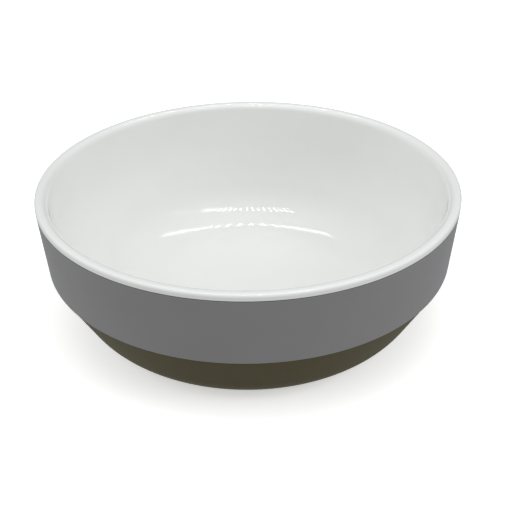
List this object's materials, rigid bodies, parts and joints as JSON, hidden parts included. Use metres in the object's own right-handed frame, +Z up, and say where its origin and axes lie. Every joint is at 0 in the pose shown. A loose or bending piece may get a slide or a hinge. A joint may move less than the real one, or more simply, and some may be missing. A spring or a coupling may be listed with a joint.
{
  "type": "serving bowl",
  "caption": "Round serving bowl: glossy white inner bowl with a rounded rim, straight grey outer sleeve, rounded olive base shell, and a soft ring underneath to stand on.",
  "frame": {"origin": "centre of the foot ring's underside, on the surface the bowl stands on", "axes": "+Z up along the bowl's axis of symmetry; +X and +Y are arbitrary, as the bowl is round"},
  "size_m": [0.22, 0.22, 0.0776],
  "materials": {
    "white_gloss": "gloss",
    "grey_satin": "satin",
    "olive_matte": "matte",
    "seal": "matte",
    "foot_rubber": "matte"
  },
  "bodies": {
    "root": {"inner_bowl": "white_gloss", "rim_seal": "seal", "outer_sleeve": "grey_satin", "sleeve_seal": "seal", "lower_shell": "olive_matte", "foot_ring": "foot_rubber"}
  },
  "joints": []
}
